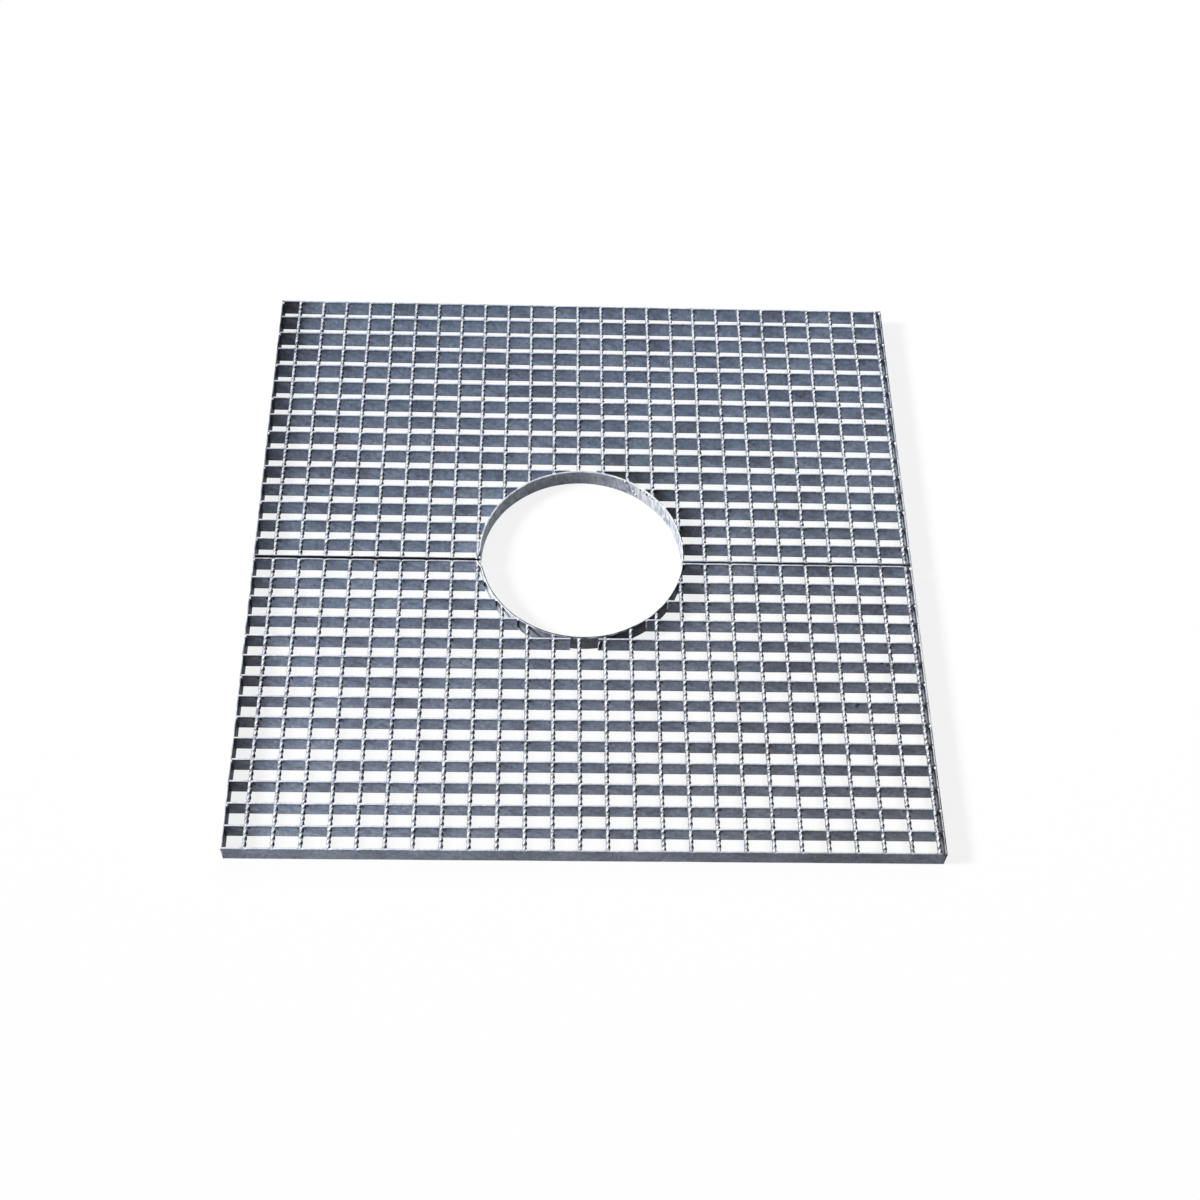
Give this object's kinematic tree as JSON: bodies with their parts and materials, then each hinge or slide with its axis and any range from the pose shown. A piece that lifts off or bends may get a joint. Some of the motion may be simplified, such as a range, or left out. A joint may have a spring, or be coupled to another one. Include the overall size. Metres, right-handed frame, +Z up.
{
  "type": "tree grate",
  "caption": "Square galvanised steel tree grate of flat bars and cross rods, split across the middle, with a round collared opening for a trunk.",
  "frame": {"origin": "middle of the underside; the axis of the trunk opening stands 4 mm to the left of it", "axes": "+Z up, +Y to the back along the cross rods, +X to the right along the bearing bars and the seam"},
  "size_m": [0.995, 1, 0.03],
  "materials": {
    "galvanised_mesh": "hot-dip galvanised, dull grey",
    "galvanised_flat_bar": "hot-dip galvanised, dull grey"
  },
  "bodies": {
    "root": {"back_grating": "galvanised_mesh", "front_grating": "galvanised_mesh", "back_left_band": "galvanised_flat_bar", "back_right_band": "galvanised_flat_bar", "front_left_band": "galvanised_flat_bar", "front_right_band": "galvanised_flat_bar", "back_collar": "galvanised_flat_bar", "front_collar": "galvanised_flat_bar"}
  },
  "joints": []
}
